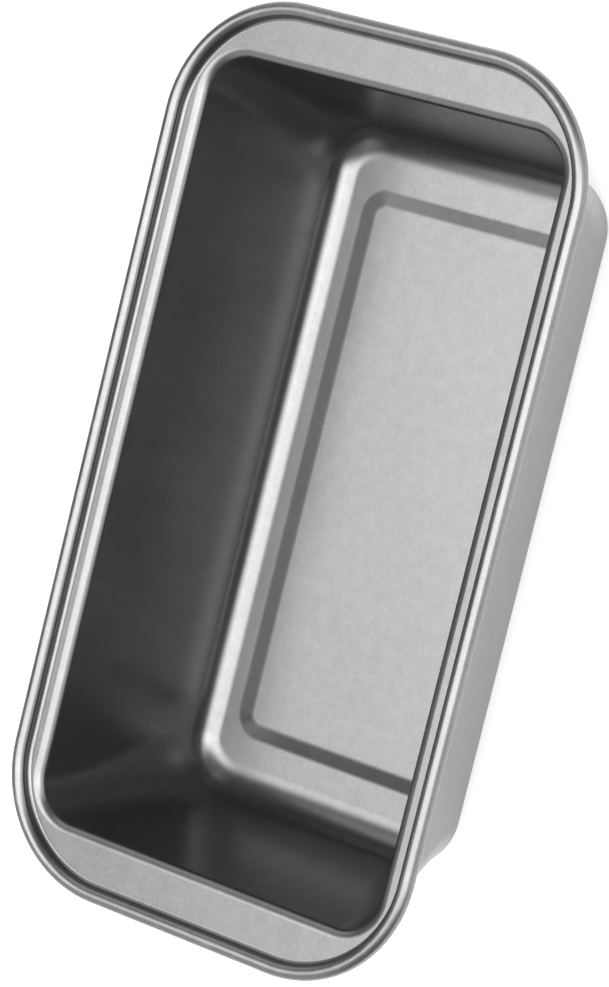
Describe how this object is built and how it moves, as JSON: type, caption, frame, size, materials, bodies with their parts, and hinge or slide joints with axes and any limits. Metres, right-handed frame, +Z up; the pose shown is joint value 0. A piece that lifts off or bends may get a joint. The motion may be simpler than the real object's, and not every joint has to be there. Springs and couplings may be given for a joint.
{
  "type": "loaf pan",
  "caption": "Rectangular deep-drawn loaf pan with tapered walls, a raised floor panel, wide flat end grips and a wired rolled rim.",
  "frame": {"origin": "centre of the footprint, on the surface the pan stands on", "axes": "+X along the pan, +Y across it, +Z up, out of its mouth"},
  "size_m": [0.252, 0.131, 0.065],
  "materials": {
    "nonstick_coated_steel": "satin metallic grey non-stick coating on steel sheet, with a fine metallic fleck",
    "plain_steel_wire": "plain drawn steel wire, dull"
  },
  "bodies": {
    "root": {"pan_body": "nonstick_coated_steel", "rim_wire": "plain_steel_wire"}
  },
  "joints": []
}
